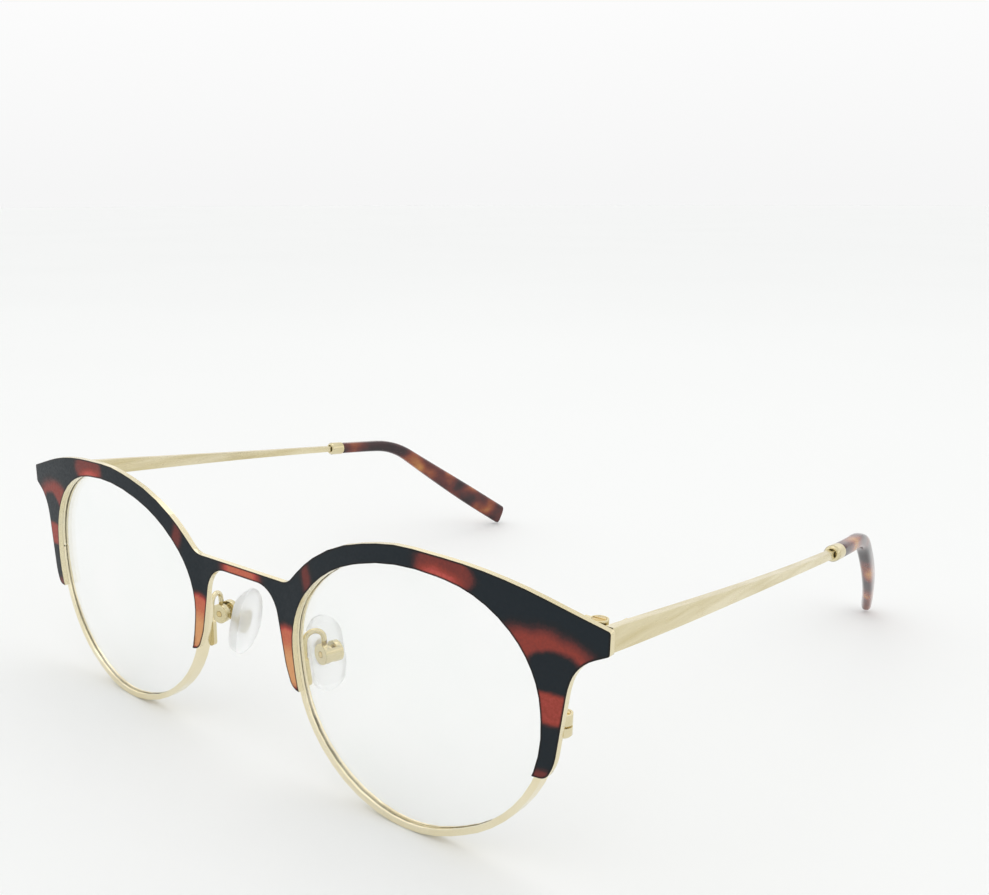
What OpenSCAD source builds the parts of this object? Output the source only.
// Browline spectacles: a printed sheet-metal brow plate with full eyewires behind it,
// folding flat temples with acetate tips, and rocking nose pads on wire arms.
// All sizes are in millimetres. X runs across the face (the wearer's left is +X),
// Y runs back along the temples and Z is up from the table the spectacles stand on.

/* [Lenses] */
// width of one lens, edge to edge, in its groove
lens_w = 47; // [40:0.5:57]
// height of one lens, edge to edge, in its groove
lens_h = 42; // [34:0.5:51]
// thickness of the plano lens
lens_t = 1.2; // [1:0.1:1.4]
// distance between the two lenses
bridge_w = 24; // [20:0.5:30]

/* [Brow plate] */
// sheet thickness of the brow plate
plate_t = 1; // [0.8:0.1:1.3]
// radius of the gentle curve of each half across the face
face_radius = 200; // [150:5:400]
// distance from the middle to the foremost point of each half
face_lead = 26; // [22:1:30]
// radius of the bend at each end of the straight bridge
bend_r = 15; // [8:1:25]
// height of the bridge bar
bridge_h = 1.7; // [1.4:0.1:2.4]
// how far each end piece reaches past the lens
end_reach = 8.3; // [7.5:0.1:12]
// height of the outer edge of each end piece
end_h = 3.3; // [2.8:0.1:4]
// height of the end pieces above the middle of the lens
end_rise = 16.2; // [14.5:0.1:17]

/* [Eyewires] */
// width of the eyewire seen from the front
rim_w = 1; // [0.9:0.05:1.5]
// depth of the eyewire from front to back
rim_depth = 2; // [1.9:0.1:2.8]
// how deep the lens sits in the groove of the eyewire
groove_depth = 0.45; // [0.3:0.05:0.6]
// height of the closing block split above the middle of the lens
block_rise = 2.7; // [0:0.1:5]
// diameter of the rounded closing block
block_d = 2.6; // [2.5:0.1:3.2]
// height of both halves of the closing block together
block_h = 3.4; // [3.2:0.1:6]

/* [Hinges] */
// outer diameter of the hinge knuckles
knuckle_d = 2.5; // [2.3:0.1:3]
// height of the whole hinge barrel
barrel_h = 4.2; // [3.8:0.1:5]
// height of the middle knuckle, the one that turns with the temple
middle_h = 1.7; // [1.4:0.1:2]
// diameter of the hinge screw where the knuckles turn on it
hinge_screw_d = 1.2; // [1:0.1:1.4]

/* [Temples] */
// length of a temple from the hinge to the end of the tip, along its bend
temple_len = 142; // [119:1:170]
// length of a temple from the hinge to the bend
bend_len = 98.5; // [90:0.5:106]
// how far a temple slopes down from the hinge, in degrees
temple_drop = 6; // [5:0.1:8]
// thickness of the flat temple
temple_t = 1.2; // [1:0.1:1.5]
// height of the temple at the hinge
temple_h = 3.5; // [3:0.1:4.2]
// height of the temple where it enters the ferrule
temple_end_h = 2.1; // [1.8:0.1:2.4]
// radius of the inward bow of the temple, seen from above
bow_r = 1300; // [850:10:2000]

/* [Temple tips] */
// length of the metal ferrule at the front of the tip
ferrule_len = 3.6; // [3:0.1:5]
// diameter of the ferrule at its large end
ferrule_d = 3; // [2.8:0.1:3.4]
// distance from the hinge to the front of the ferrule
ferrule_at = 77.5; // [72:0.5:80]
// height of the tip where it leaves the ferrule
tip_h = 2.6; // [2.4:0.1:3]
// height of the tip at its widest, near the end
tip_end_h = 4.9; // [4:0.1:6]
// sideways thickness of the tip
tip_w = 2.6; // [2.4:0.1:3.2]
// radius of the bend over the ear
ear_r = 14; // [10:1:18]
// radius of the inward curve of the tip, seen from above
tip_curve_r = 190; // [150:5:400]
// diameter of the core wire inside the tip
core_d = 1.1; // [0.9:0.1:1.3]

/* [Nose pads] */
// height of a nose pad
pad_h = 12.8; // [11:0.1:15]
// width of a nose pad
pad_w = 6.3; // [5.5:0.1:8]
// thickness of a nose pad in the middle
pad_t = 2.1; // [2:0.1:2.6]
// how far the pads open toward the face, in degrees
pad_splay = 10; // [4:1:18]
// how far the pads open toward the bottom, in degrees
pad_slant = 12; // [6:1:18]
// diameter of the drum-shaped pad box
box_d = 3.5; // [3.2:0.1:3.8]
// length of the pad box
box_len = 3.4; // [3.2:0.1:4]
// diameter of the pad arm wire
arm_d = 0.9; // [0.8:0.05:1]

/* [Hidden] */

gold = [0.86, 0.79, 0.60];
tortoise = [0.16, 0.12, 0.12];
clear = [0.88, 0.92, 0.92, 0.35];
$fn = 48;

// gap left between two soldered or seated faces
seat = 0.02;
// radial gap of a screw or pin in its bore
run_gap = 0.04;
// gap between faces that slide past each other
slide_gap = 0.06;

// the lens opening is smaller than the lens by the depth of the groove
half_open_w = lens_w / 2 - groove_depth;
half_open_h = lens_h / 2 - groove_depth;
lens_x = (bridge_w + lens_w) / 2;
lens_z = half_open_h + rim_w;
half_w = lens_x + lens_w / 2 + end_reach;
wide = lens_w / 47;
tall = lens_h / 42;

// outline helpers: corners are [x, z, radius] and each is rounded by its own arc

function heading(a, b) = atan2(b[1] - a[1], b[0] - a[0]);
function wrap(t) = t > 180 ? t - 360 : (t < -180 ? t + 360 : t);
function before(c, i) = c[(i + len(c) - 1) % len(c)];
function after(c, i) = c[(i + 1) % len(c)];
function turn(c, i) = wrap(heading(c[i], after(c, i)) - heading(before(c, i), c[i]));
function side(a, b) = norm([b[0] - a[0], b[1] - a[1]]);

// length of side that the arc of corner i uses up at each end
function run(c, i) = let (k = (i + len(c)) % len(c)) c[k][2] * abs(tan(turn(c, k) / 2));

// how much of the two arcs that meet on the side after corner i fits on it
function share(c, i) =
    let (k = (i + len(c)) % len(c), used = run(c, k) + run(c, k + 1))
    used > 0 ? min(1, 0.998 * side(c[k], after(c, k)) / used) : 1;

// radius of corner i, made smaller where its sides are too short for it
function radius(c, i) = c[i][2] * min(share(c, i - 1), share(c, i));

// the same corners, each as round as half of its shorter side allows
function softened(p) = [
    for (i = [0:len(p) - 1])
        let (half = 0.495 * min(side(before(p, i), p[i]), side(p[i], after(p, i))))
        [p[i][0], p[i][1], half / tan(abs(turn(p, i)) / 2)]
];

// points along the arc that rounds corner i
function corner_arc(c, i) =
    let (
        r = radius(c, i),
        t = turn(c, i),
        d = heading(before(c, i), c[i]),
        s = sign(t),
        back = r * abs(tan(t / 2)),
        p = [c[i][0] - back * cos(d), c[i][1] - back * sin(d)],
        m = [p[0] - s * r * sin(d), p[1] + s * r * cos(d)],
        n = max(1, ceil(abs(t) / 8), ceil(abs(t) * r / 230))
    )
    r < 0.01 ? [[c[i][0], c[i][1]]]
    : [for (k = [0:n]) [m[0] + s * r * sin(d + t * k / n), m[1] - s * r * cos(d + t * k / n)]];

function rounded(c) = [for (i = [0:len(c) - 1]) each corner_arc(c, i)];

// moves every side of an anticlockwise outline outward by d
function grown(c, d) = [
    for (i = [0:len(c) - 1])
        let (
            t = turn(c, i),
            m = heading(before(c, i), c[i]) + t / 2,
            k = d / cos(t / 2),
            r = c[i][2]
        )
        [c[i][0] + k * sin(m), c[i][1] - k * cos(m), r > 0 ? max(0, r + sign(t) * d) : 0]
];

function flipped(c) = [for (i = [len(c) - 1:-1:0]) [-c[i][0], c[i][1], c[i][2]]];

// lens outline: ten corners, in halves of the opening, each as round as its sides allow

lens_corners = softened([
    for (p = [
        [0.963, 0.520], [0.592, 0.938], [-0.048, 1.035], [-0.671, 0.811], [-1.041, 0.316],
        [-0.941, -0.437], [-0.549, -0.880], [0.065, -1.054], [0.706, -0.729], [1.015, -0.165]
    ]) [p[0] * half_open_w, p[1] * half_open_h]
]);

module lens_outline(d) {
    polygon(rounded(grown(lens_corners, d)));
}

// curve of the front seen from above

bend_x = bridge_w / 2 - 1.5;
plan_end = half_w + 4;
rise_angle = asin((plan_end - face_lead) / face_radius);
fall_angle = asin((bend_x - face_lead) / face_radius);
bend_run = bend_r * tan(abs(fall_angle) / 2) * 1.05;
face_cy = face_radius * cos(fall_angle) + bend_run * sin(fall_angle);
mid_angle = (rise_angle + fall_angle) / 2;
far_r = face_radius / cos((rise_angle - fall_angle) / 2);

// depth of the front surface of the brow plate at distance x from the middle
function face_y(x) = abs(x) < bend_x ? 0
    : face_cy - sqrt(face_radius * face_radius - pow(abs(x) - face_lead, 2));

// slope of that surface, in degrees
function face_slope(x) = abs(x) < bend_x ? 0 : asin((abs(x) - face_lead) / face_radius);

plan_half = [
    [bend_x - bend_run * cos(fall_angle), 0, bend_r],
    [face_lead + far_r * sin(mid_angle), face_cy - far_r * cos(mid_angle), face_radius],
    [plan_end + 8 * cos(rise_angle), face_cy - face_radius * cos(rise_angle) + 8 * sin(rise_angle), 0]
];
plan_corners = concat(
    flipped(plan_half), plan_half,
    [[plan_end + 8, 60, 0], [-plan_end - 8, 60, 0]]
);

// everything between two depths behind the front surface
module between_depths(front, back) {
    translate([0, 0, -5])
        linear_extrude(lens_h * 2)
            difference() {
                polygon(rounded(grown(plan_corners, -front)));
                polygon(rounded(grown(plan_corners, -back)));
            }
}

// raises a drawing in X and Z and gives it depth in Y, both ways from the front surface
module upright(depth = 40) {
    translate([0, depth / 2, 0]) rotate([90, 0, 0]) linear_extrude(depth) children();
}

// builds its children on the wearer's left (side = 0) or mirrored on the right (side = 1)
module sided(s) {
    mirror([s, 0, 0]) children();
}

// the table frame has its origin under the middle of the whole pair
module placed() {
    translate([0, -mid_y, 0]) children();
}

// brow plate outline, right half as drawn, mirrored for the other half

bridge_z = 11.55 * tall;
half_plate = [
    [6.2, bridge_z - bridge_h / 2 - 0.2, 4.4],
    [8.5, 7.7 * tall, 6],
    [10.4, -1.9 * tall, 10],
    [12.0, -5.8 * tall, 2.2],
    [15.2, -5.5 * tall, 0],
    [lens_x + 20.5 * wide, -5.1 * tall, 0],
    [lens_x + 23.8 * wide, -5.1 * tall, 1.6],
    [lens_x + 25.0 * wide, -2.8 * tall, 8],
    [lens_x + 26.4 * wide, 8.7 * tall, 11.8],
    [lens_x + 27.5 * wide, end_rise - end_h / 2 - 2.1, 6],
    [half_w, end_rise - end_h / 2, 0.5],
    [half_w, end_rise + end_h / 2, 0.5],
    [lens_x + 15.4 * wide, 22.9 * tall, 65],
    [lens_x - 1.3 * wide, 23.6 * tall, 26],
    [lens_x - 13.0 * wide, 21.1 * tall, 29],
    [lens_x - 19.9 * wide, 16.3 * tall, 29],
    [bridge_w / 2 - 0.7, bridge_z + bridge_h / 2 - 0.35, 3.5],
];
mirror_x = concat(half_plate, flipped(half_plate));
plate_corners = [
    for (p = mirror_x) [abs(p[0]) < 15.3 && abs(p[0]) > 6.1 ? p[0] * bridge_w / 24 : p[0], p[1], p[2]]
];

module brow_plate() {
    color(tortoise)
        intersection() {
            translate([0, 0, lens_z])
                upright()
                    difference() {
                        polygon(rounded(plate_corners));
                        for (s = [0, 1])
                            mirror([s, 0])
                                translate([lens_x, 0]) lens_outline(0);
                    }
            between_depths(0, plate_t);
        }
}

// eyewires and lenses

rim_front = plate_t + seat;
rim_back = rim_front + rim_depth;
lens_front = rim_front + (rim_depth - lens_t) / 2;
lens_back = lens_front + lens_t;
groove_gap = 0.04;

module ring(inner, outer, front, back) {
    intersection() {
        translate([lens_x, 0, lens_z])
            upright()
                difference() {
                    lens_outline(outer);
                    lens_outline(inner);
                }
        between_depths(front, back);
    }
}

module eyewire(s) {
    color(gold)
        sided(s)
            difference() {
                ring(0, rim_w, rim_front, rim_back);
                ring(-1, groove_depth + groove_gap, lens_front - groove_gap, lens_back + groove_gap);
                // the eyewire is open where the closing block clamps it
                translate([lens_x + half_open_w - 1, -5, lens_z + block_rise - slit / 2])
                    cube([rim_w + 2, 20, slit]);
            }
}

module lens(s) {
    color(clear)
        sided(s)
            intersection() {
                translate([lens_x, 0, lens_z]) upright() lens_outline(groove_depth);
                translate([face_lead, face_cy, -5])
                    difference() {
                        cylinder(r = face_radius - lens_front, h = lens_h + 20, $fn = 360);
                        translate([0, 0, -1])
                            cylinder(r = face_radius - lens_back, h = lens_h + 22, $fn = 360);
                    }
            }
}

// closing blocks: two halves, one screw, on the outer side of each eyewire

slit = 0.3;
block_x = lens_x + half_open_w + rim_w + 0.7;
block_y = face_y(block_x) + plate_t + 1.2;
block_z = lens_z + block_rise;
rim_screw_d = 1.1;
rim_screw_head_d = 1.9;
rim_screw_head_h = 0.5;

module block_body(h, chamfer) {
    difference() {
        union() {
            rotate_extrude()
                polygon([
                    [0, 0], [block_d / 2 - chamfer, 0], [block_d / 2, chamfer],
                    [block_d / 2, h], [0, h]
                ]);
            translate([-2.2, -rim_depth / 2, 0]) cube([2.2, rim_depth, h]);
        }
        translate([0, 0, -1]) cylinder(d = rim_screw_d + 2 * run_gap, h = h + 2);
    }
}

// keeps a block clear of the eyewire it is soldered to and of the plate in front of it
module block_trim() {
    difference() {
        children();
        translate([lens_x, 0, lens_z]) upright() lens_outline(rim_w + seat);
        between_depths(-8, plate_t + seat);
    }
}

module closing_block_upper(s) {
    color(gold)
        sided(s)
            block_trim()
                translate([block_x, block_y, block_z + slit / 2])
                    difference() {
                        block_body((block_h - slit) / 2, 0);
                        translate([0, 0, (block_h - slit) / 2 - rim_screw_head_h - run_gap])
                            cylinder(d = rim_screw_head_d + 2 * run_gap, h = 2);
                    }
}

module closing_block_lower(s) {
    color(gold)
        sided(s)
            block_trim()
                translate([block_x, block_y, block_z - block_h / 2])
                    block_body((block_h - slit) / 2, 0.3);
}

// a slotted cheese-head screw that hangs down from z = 0, with its head above
module slotted_screw(d, len, head_d, head_h) {
    difference() {
        union() {
            translate([0, 0, -len]) cylinder(d = d, h = len + head_h / 2);
            cylinder(d = head_d, h = head_h);
        }
        translate([-head_d, -0.15, head_h - 0.22]) cube([head_d * 2, 0.3, 1]);
    }
}

module rim_screw(s) {
    color(gold)
        sided(s)
            translate([block_x, block_y, block_z + block_h / 2 - rim_screw_head_h])
                slotted_screw(rim_screw_d, block_h - rim_screw_head_h - 0.15,
                              rim_screw_head_d, rim_screw_head_h);
}

// nose pads, their boxes and arms

pad_x = bridge_w / 2 + 1.5;
pad_y = 7.3;
pad_z = lens_z - 1.0 * tall;
pad_screw_d = 1.0;
pad_screw_head_d = 1.8;
pad_screw_head_h = 0.45;
eye_d = 2.2;
eye_w = 1.1;
tab_t = 0.4;
pad_back = box_d / 2 + 1.0;
pad_shift_y = 1.5;
pad_shift_z = -0.9;

// local frame of a pad box: Y along its screw, -X toward the nose
module at_pad_box() {
    translate([pad_x, pad_y, pad_z]) rotate([0, 0, -pad_splay]) children();
}

// a cylinder lying along Y and centred on the origin
module along_y(d, h) {
    rotate([90, 0, 0]) translate([0, 0, -h / 2]) cylinder(d = d, h = h);
}

module pad_box(s) {
    color(gold)
        sided(s)
            at_pad_box()
                difference() {
                    along_y(box_d, box_len);
                    along_y(pad_screw_d + 2 * run_gap, box_len + 2);
                    // slot for the eye of the pad tab
                    translate([-box_d, -eye_w / 2 - slide_gap, -box_d])
                        cube([box_d + eye_d / 2 + slide_gap * 2, eye_w + slide_gap * 2, box_d * 2]);
                }
}

module pad_screw(s) {
    color(gold)
        sided(s)
            at_pad_box()
                translate([0, box_len / 2 + slide_gap, 0])
                    rotate([-90, 0, 0])
                        slotted_screw(pad_screw_d, box_len + slide_gap,
                                      pad_screw_head_d, pad_screw_head_h);
}

module tilted_pad() {
    rotate([0, -pad_slant, 0]) children();
}

module tab_plate(extra) {
    tilted_pad()
        translate([-pad_back - pad_t / 2, pad_shift_y / 2, pad_shift_z / 2])
            rotate([0, -90, 0])
                translate([0, 0, -tab_t / 2 - extra])
                    linear_extrude(tab_t + 2 * extra)
                        union() {
                            translate([1, 0]) circle(r = 1.3 + extra);
                            translate([-1, 0]) circle(r = 1.3 + extra);
                            translate([-1, -1.3 - extra]) square([2, 2.6 + 2 * extra]);
                        }
}

module tab_neck(extra) {
    tilted_pad()
        translate([-pad_back - pad_t / 2, -eye_w / 2 - extra, -0.55 - extra])
            cube([pad_back + pad_t / 2, eye_w + 2 * extra, 1.1 + 2 * extra]);
}

module pad_tab(s) {
    color(gold)
        sided(s)
            at_pad_box()
                difference() {
                    union() {
                        along_y(eye_d, eye_w);
                        tab_neck(0);
                        tab_plate(0);
                    }
                    along_y(pad_screw_d + 2 * run_gap, eye_w + 2);
                }
}

// the oval of the pad, a little narrower at the top
pad_corners = softened([
    for (p = [
        [0.42, 1.0], [1.0, 0.62], [1.12, -0.38], [0.62, -1.0],
        [-0.62, -1.0], [-1.12, -0.38], [-1.0, 0.62], [-0.42, 1.0]
    ]) [-p[0] * pad_w / 2 * 0.97, p[1] * pad_h / 2]
]);

module nose_pad(s) {
    dome = 26;
    color(clear)
        sided(s)
            at_pad_box()
                difference() {
                    tilted_pad()
                        translate([-pad_back, pad_shift_y, pad_shift_z])
                            intersection() {
                                rotate([90, 0, -90])
                                    linear_extrude(pad_t)
                                        polygon(rounded(pad_corners));
                                translate([dome - pad_t, 0, 0]) sphere(r = dome, $fn = 120);
                                translate([pad_t / 2 - 9.2, 0, 0])
                                    rotate([0, 0, 0]) sphere(r = 9.3 + 0.4, $fn = 120);
                            }
                    tab_plate(seat);
                    tab_neck(seat);
                }
}

// pad arm: a foot on the back of the eyewire and a wire looped over to the box
foot_w = 1.8;
foot_len = 3.4;
arm_foot_x = bridge_w / 2 + 0.1;
arm_leg_y = face_y(bridge_w / 2) + rim_back + 0.42;
arm_foot_top = lens_z - 1.6 * tall;
arm_end = [pad_x - 0.15, pad_y - 0.95];
arm_start = [arm_foot_x, arm_leg_y];
arm_span = norm(arm_end - arm_start);
arm_dir = heading(arm_start, arm_end);
arm_loop_z = lens_z + 1.6 * tall;

module pad_arm(s) {
    color(gold)
        sided(s)
            difference() {
                union() {
                    // foot, soldered along the eyewire
                    translate([arm_foot_x, arm_leg_y, arm_foot_top])
                        rotate([0, -5.5, 0])
                            rotate([90, 0, 0])
                                translate([0, 0, -0.35])
                                    linear_extrude(1.2)
                                        union() {
                                            circle(d = arm_d + 0.3);
                                            polygon([
                                                [-arm_d / 2 - 0.15, 0], [-foot_w / 2, -foot_len],
                                                [foot_w / 2, -foot_len], [arm_d / 2 + 0.15, 0]
                                            ]);
                                            translate([0, -foot_len]) circle(d = foot_w);
                                        }
                    translate([arm_foot_x, arm_leg_y, arm_foot_top - 1.5])
                        cylinder(d = arm_d - 0.04, h = arm_loop_z - arm_foot_top + 1.52);
                    translate([arm_start[0], arm_start[1], arm_loop_z])
                        rotate([0, 0, arm_dir])
                            translate([arm_span / 2, 0, 0])
                                rotate([90, 0, 0])
                                    rotate_extrude(angle = 180)
                                        translate([arm_span / 2, 0]) circle(d = arm_d);
                    translate([arm_end[0], arm_end[1], pad_z])
                        cylinder(d = arm_d - 0.04, h = arm_loop_z - pad_z + 0.02);
                }
                between_depths(-8, rim_back + seat);
                at_pad_box() along_y(box_d + 2 * seat, box_len + 2 * seat);
            }
}

// hinges: two knuckles on the front leaf, one on the temple leaf

hinge_x = half_w - 3.2;
hinge_y = face_y(hinge_x) + plate_t + 1.95;
hinge_z = lens_z + end_rise;
leaf_t = 0.3;
temple_in = knuckle_d / 2 + 0.05 + leaf_t + seat;

module at_hinge() {
    translate([hinge_x, hinge_y, hinge_z]) children();
}

module hinge_front_leaf(s) {
    color(gold)
        sided(s)
            difference() {
                at_hinge()
                    difference() {
                        translate([0, 0, -barrel_h / 2])
                            union() {
                                cylinder(d = knuckle_d, h = barrel_h);
                                translate([-knuckle_d / 2 - 0.8, -3, 0])
                                    cube([knuckle_d / 2 + 0.8, 3, barrel_h]);
                            }
                        // room for the middle knuckle and its neck to swing
                        translate([0, 0, -middle_h / 2 - slide_gap])
                            cylinder(d = knuckle_d + 4 * slide_gap, h = middle_h + 2 * slide_gap);
                        translate([-knuckle_d, -knuckle_d / 2 - slide_gap, -middle_h / 2 - slide_gap])
                            cube([knuckle_d * 2, knuckle_d * 2, middle_h + 2 * slide_gap]);
                        translate([0, 0, -barrel_h])
                            cylinder(d = hinge_screw_d + 2 * run_gap, h = barrel_h * 2);
                        translate([0, 0, barrel_h / 2 - hinge_head_h - run_gap])
                            cylinder(d = hinge_head_d + 2 * run_gap, h = 2);
                    }
                between_depths(-8, plate_t + seat);
            }
}

hinge_head_d = 1.9;
hinge_head_h = 0.45;

module hinge_screw(s) {
    color(gold)
        sided(s)
            at_hinge()
                translate([0, 0, barrel_h / 2 - hinge_head_h])
                    slotted_screw(hinge_screw_d, barrel_h - hinge_head_h - 0.05,
                                  hinge_head_d, hinge_head_h);
}

module hinge_temple_leaf(s) {
    color(gold)
        sided(s)
            at_hinge()
                difference() {
                    union() {
                        translate([0, 0, -middle_h / 2]) cylinder(d = knuckle_d, h = middle_h);
                        translate([0, -0.5, -middle_h / 2])
                            cube([temple_in - seat, 1.2, middle_h]);
                        translate([temple_in - seat - leaf_t, -1, -1.2])
                            cube([leaf_t, 5.5, 2.4]);
                    }
                    translate([0, 0, -middle_h])
                        cylinder(d = hinge_screw_d + 2 * run_gap, h = middle_h * 2);
                }
}

// temples: a flat bar that ends in a core wire inside the tip

temple_front = hinge_y - (face_y(hinge_x + temple_in + temple_t) + plate_t + 0.16);
temple_out = temple_in + temple_t;
ear_y = bend_len * cos(temple_drop);
ear_z = -bend_len * sin(temple_drop);
leg_len = temple_len - bend_len;
foot_drop = 1.14;
leg_angle = asin((hinge_z + ear_z - foot_drop) / leg_len);
side_path = [
    [0, 0, 0],
    [ear_y, ear_z, ear_r],
    [ear_y + leg_len * cos(leg_angle), ear_z - leg_len * sin(leg_angle), 0]
];

// sideways place of the middle of the temple at distance y behind the hinge
bow_end_y = ferrule_at * cos(temple_drop);
bow_end_slope = asin(bow_end_y / bow_r);
function bow(y) = y < bow_end_y
    ? temple_in + temple_t / 2 - (bow_r - sqrt(bow_r * bow_r - y * y))
    : temple_in + temple_t / 2 - (bow_r - bow_r * cos(bow_end_slope))
        - (y - bow_end_y) * tan(bow_end_slope) - pow(y - bow_end_y, 2) / (2 * tip_curve_r);
function bow_slope(y) = y < bow_end_y ? asin(y / bow_r)
    : atan(tan(bow_end_slope) + (y - bow_end_y) / tip_curve_r);

// a point and slope on the side path at distance s from the hinge
ear_turn = leg_angle - temple_drop;
ear_run = ear_r * tan(ear_turn / 2);
ear_arc = ear_r * ear_turn * PI / 180;
path_len = temple_len - 2 * ear_run + ear_arc;
function path_slope(s) = s < bend_len - ear_run ? temple_drop
    : s > bend_len - ear_run + ear_arc ? leg_angle
    : temple_drop + (s - bend_len + ear_run) / ear_r * 180 / PI;
function path_at(s) =
    let (
        a = bend_len - ear_run,
        b = a + ear_arc,
        u = min(s, a),
        v = max(0, s - b),
        q = path_slope(s)
    )
    [
        u * cos(temple_drop) + ear_r * (sin(q) - sin(temple_drop)) + v * cos(leg_angle),
        -u * sin(temple_drop) - ear_r * (cos(temple_drop) - cos(q)) - v * sin(leg_angle)
    ];
function temple_point(s) = let (p = path_at(s)) [bow(p[0]), p[0], p[1]];

bar_steps = 10;
bar_end = ferrule_at + 0.8;

module temple_bar() {
    side_line = [
        [-temple_front, temple_front * tan(temple_drop)],
        [bar_end * cos(temple_drop), -bar_end * sin(temple_drop)]
    ];
    intersection() {
        // seen from the side
        rotate([90, 0, 90])
            translate([0, 0, -10])
                linear_extrude(30)
                    polygon([
                        side_line[0] + [0, temple_h / 2],
                        side_line[0] - [0, temple_h / 2],
                        side_line[1] - [0, temple_end_h / 2],
                        side_line[1] + [0, temple_end_h / 2]
                    ]);
        // seen from above
        translate([0, 0, -30])
            linear_extrude(60)
                polygon(concat(
                    [for (k = [0:bar_steps])
                        let (y = k == 0 ? -temple_front : bar_end * k / bar_steps)
                        [bow(max(0, y)) + temple_t / 2, y]],
                    [for (k = [bar_steps:-1:0])
                        let (y = k == 0 ? -temple_front : bar_end * k / bar_steps)
                        [bow(max(0, y)) - temple_t / 2, y]]
                ));
    }
}

// stations of the core wire inside the ferrule and the tip
core_start = bar_end - 1.2;
core_end = path_len - 11;
bend_start = bend_len - ear_run;
core_stations = [
    core_start, bend_start, bend_start + ear_arc / 2, bend_start + ear_arc,
    (bend_start + ear_arc + core_end) / 2, core_end
];

// puts its children at a with their Z axis along v
module pointed(a, v) {
    translate(a) rotate([0, acos(v[2] / norm(v)), atan2(v[1], v[0])]) children();
}

// a round bar from a to b
module rod(a, b, d) {
    pointed(a, b - a) cylinder(d = d, h = norm(b - a), $fn = 24);
}

// straight stretches of wire with a rounded joint at each kink
module core_wire(d, extra = 0) {
    p = [for (s = core_stations) temple_point(s)];
    last = len(p) - 1;
    for (k = [0:last - 1]) {
        v = p[k + 1] - p[k];
        rod(p[k], p[k + 1] + (k == last - 1 ? extra : 0) * v / norm(v), d);
        if (k > 0) pointed(p[k], p[k + 1] - p[k - 1]) sphere(d = d + 0.14, $fn = 32);
    }
}

module temple(s) {
    color(gold)
        sided(s)
            at_hinge()
                union() {
                    temple_bar();
                    core_wire(core_d);
                }
}

// ferrule: a turned collar over the end of the bar

ferrule_mid = ferrule_at + ferrule_len / 2;
ferrule_wall = 0.3;

// frame at distance s along the temple: Z along the path, Y close to up
module on_path(s) {
    p = temple_point(s);
    translate(p)
        rotate([0, 0, bow_slope(p[1])])
            rotate([-path_slope(s), 0, 0])
                rotate([-90, 0, 0])
                    children();
}

module ferrule(s) {
    color(gold)
        sided(s)
            at_hinge()
                difference() {
                    on_path(ferrule_mid)
                        translate([0, 0, -ferrule_len / 2])
                            rotate_extrude()
                                polygon([
                                    [0, 0], [ferrule_d / 2 - 0.35, 0], [ferrule_d / 2, 0.5],
                                    [ferrule_d / 2, ferrule_len], [0, ferrule_len]
                                ]);
                    // mouth for the flat end of the bar
                    on_path(ferrule_mid)
                        translate([-temple_t / 2 - 0.08, -temple_end_h / 2 - 0.12, -ferrule_len / 2 - 1])
                            cube([temple_t + 0.16, temple_end_h + 0.24, 1 + 1.2]);
                    // the core wire passes through
                    rod(temple_point(core_stations[0]), temple_point(core_stations[1]), core_d + 0.12);
                }
}

// temple tip: a lofted acetate sleeve round the core wire

tip_start = ferrule_at + ferrule_len + seat;
tip_stations = 22;
tip_sides = 20;
tip_squareness = 2.9;

function blend(a, b, t) = a + (b - a) * max(0, min(1, t));
function ease(t) = let (u = max(0, min(1, t))) u * u * (3 - 2 * u);
function tip_height(t) = tip_h + (tip_end_h - tip_h) * ease((t - 0.12) / 0.75);
function tip_width(t) = blend(tip_w, tip_w * 0.86, t);
function tip_close(t) = t < 0.93 ? 1 : sqrt(max(0, 1 - pow((t - 0.93) / 0.07, 2) * 0.8));
function tip_s(k) = tip_start + (path_len - tip_start) * station(k);
// stations stand closer together over the rounded end
function station(k) = k < tip_stations - 6 ? 0.93 * k / (tip_stations - 6)
    : 0.93 + 0.07 * sin(90 * (k - tip_stations + 6) / 5);

function oval(a, n) = [
    sign(cos(a)) * pow(abs(cos(a)), 2 / n),
    sign(sin(a)) * pow(abs(sin(a)), 2 / n)
];

function tip_ring(k) =
    let (
        t = station(k),
        s = tip_s(k),
        p = temple_point(s),
        q = path_slope(s),
        b = bow_slope(p[1]),
        c = tip_close(t),
        w = tip_width(t) / 2 * c,
        h = tip_height(t) / 2 * c,
        lean = 0.22 * ease((t - 0.8) / 0.2),
        across = [cos(b), sin(b), 0],
        along = [-sin(b) * cos(q), cos(b) * cos(q), -sin(q)],
        up = [-sin(b) * sin(q), cos(b) * sin(q), cos(q)]
    )
    [for (i = [0:tip_sides - 1])
        let (o = oval(360 * i / tip_sides, tip_squareness))
        p + across * o[0] * w + up * o[1] * h - along * o[1] * h * lean];

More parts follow.
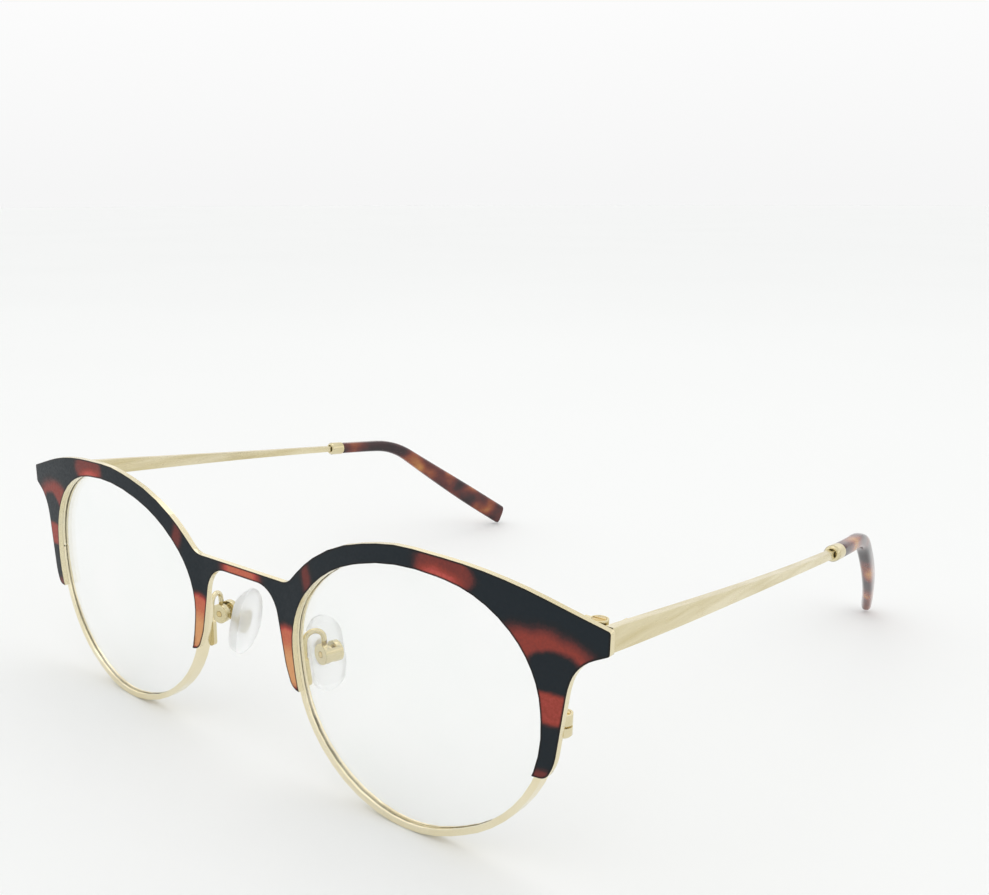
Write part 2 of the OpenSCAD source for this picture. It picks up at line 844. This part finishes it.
module tip_sleeve() {
    points = [for (k = [0:tip_stations - 1]) each tip_ring(k)];
    last = (tip_stations - 1) * tip_sides;
    polyhedron(
        points = points,
        faces = concat(
            [[for (i = [0:tip_sides - 1]) i]],
            [for (k = [0:tip_stations - 2]) for (i = [0:tip_sides - 1])
                let (j = (i + 1) % tip_sides, a = k * tip_sides, b = a + tip_sides)
                each [[a + i, b + i, a + j], [a + j, b + i, b + j]]],
            [[for (i = [tip_sides - 1:-1:0]) last + i]]
        )
    );
}

module temple_tip(s) {
    color(tortoise)
        sided(s)
            at_hinge()
                difference() {
                    tip_sleeve();
                    core_wire(core_d + 0.1, 0.2);
                }
}

// depth of the whole pair, from the foremost plate surface to the end of the tips
front_y = face_cy - face_radius;
back_y = hinge_y + side_path[2][0] + tip_end_h / 2 * sin(leg_angle) * 0.33;
mid_y = (front_y + back_y) / 2;

placed() brow_plate();
placed() eyewire(0);  // eyewire_left
placed() eyewire(1);  // eyewire_right
placed() lens(0);  // lens_left
placed() lens(1);  // lens_right
placed() closing_block_upper(0);  // closing_block_upper_left
placed() closing_block_upper(1);  // closing_block_upper_right
placed() closing_block_lower(0);  // closing_block_lower_left
placed() closing_block_lower(1);  // closing_block_lower_right
placed() rim_screw(0);  // rim_screw_left
placed() rim_screw(1);  // rim_screw_right
placed() pad_arm(0);  // pad_arm_left
placed() pad_arm(1);  // pad_arm_right
placed() pad_box(0);  // pad_box_left
placed() pad_box(1);  // pad_box_right
placed() pad_screw(0);  // pad_screw_left
placed() pad_screw(1);  // pad_screw_right
placed() pad_tab(0);  // pad_tab_left
placed() pad_tab(1);  // pad_tab_right
placed() nose_pad(0);  // nose_pad_left
placed() nose_pad(1);  // nose_pad_right
placed() hinge_front_leaf(0);  // hinge_front_leaf_left
placed() hinge_front_leaf(1);  // hinge_front_leaf_right
placed() hinge_temple_leaf(0);  // hinge_temple_leaf_left
placed() hinge_temple_leaf(1);  // hinge_temple_leaf_right
placed() hinge_screw(0);  // hinge_screw_left
placed() hinge_screw(1);  // hinge_screw_right
placed() temple(0);  // temple_left
placed() temple(1);  // temple_right
placed() ferrule(0);  // ferrule_left
placed() ferrule(1);  // ferrule_right
placed() temple_tip(0);  // temple_tip_left
placed() temple_tip(1);  // temple_tip_right
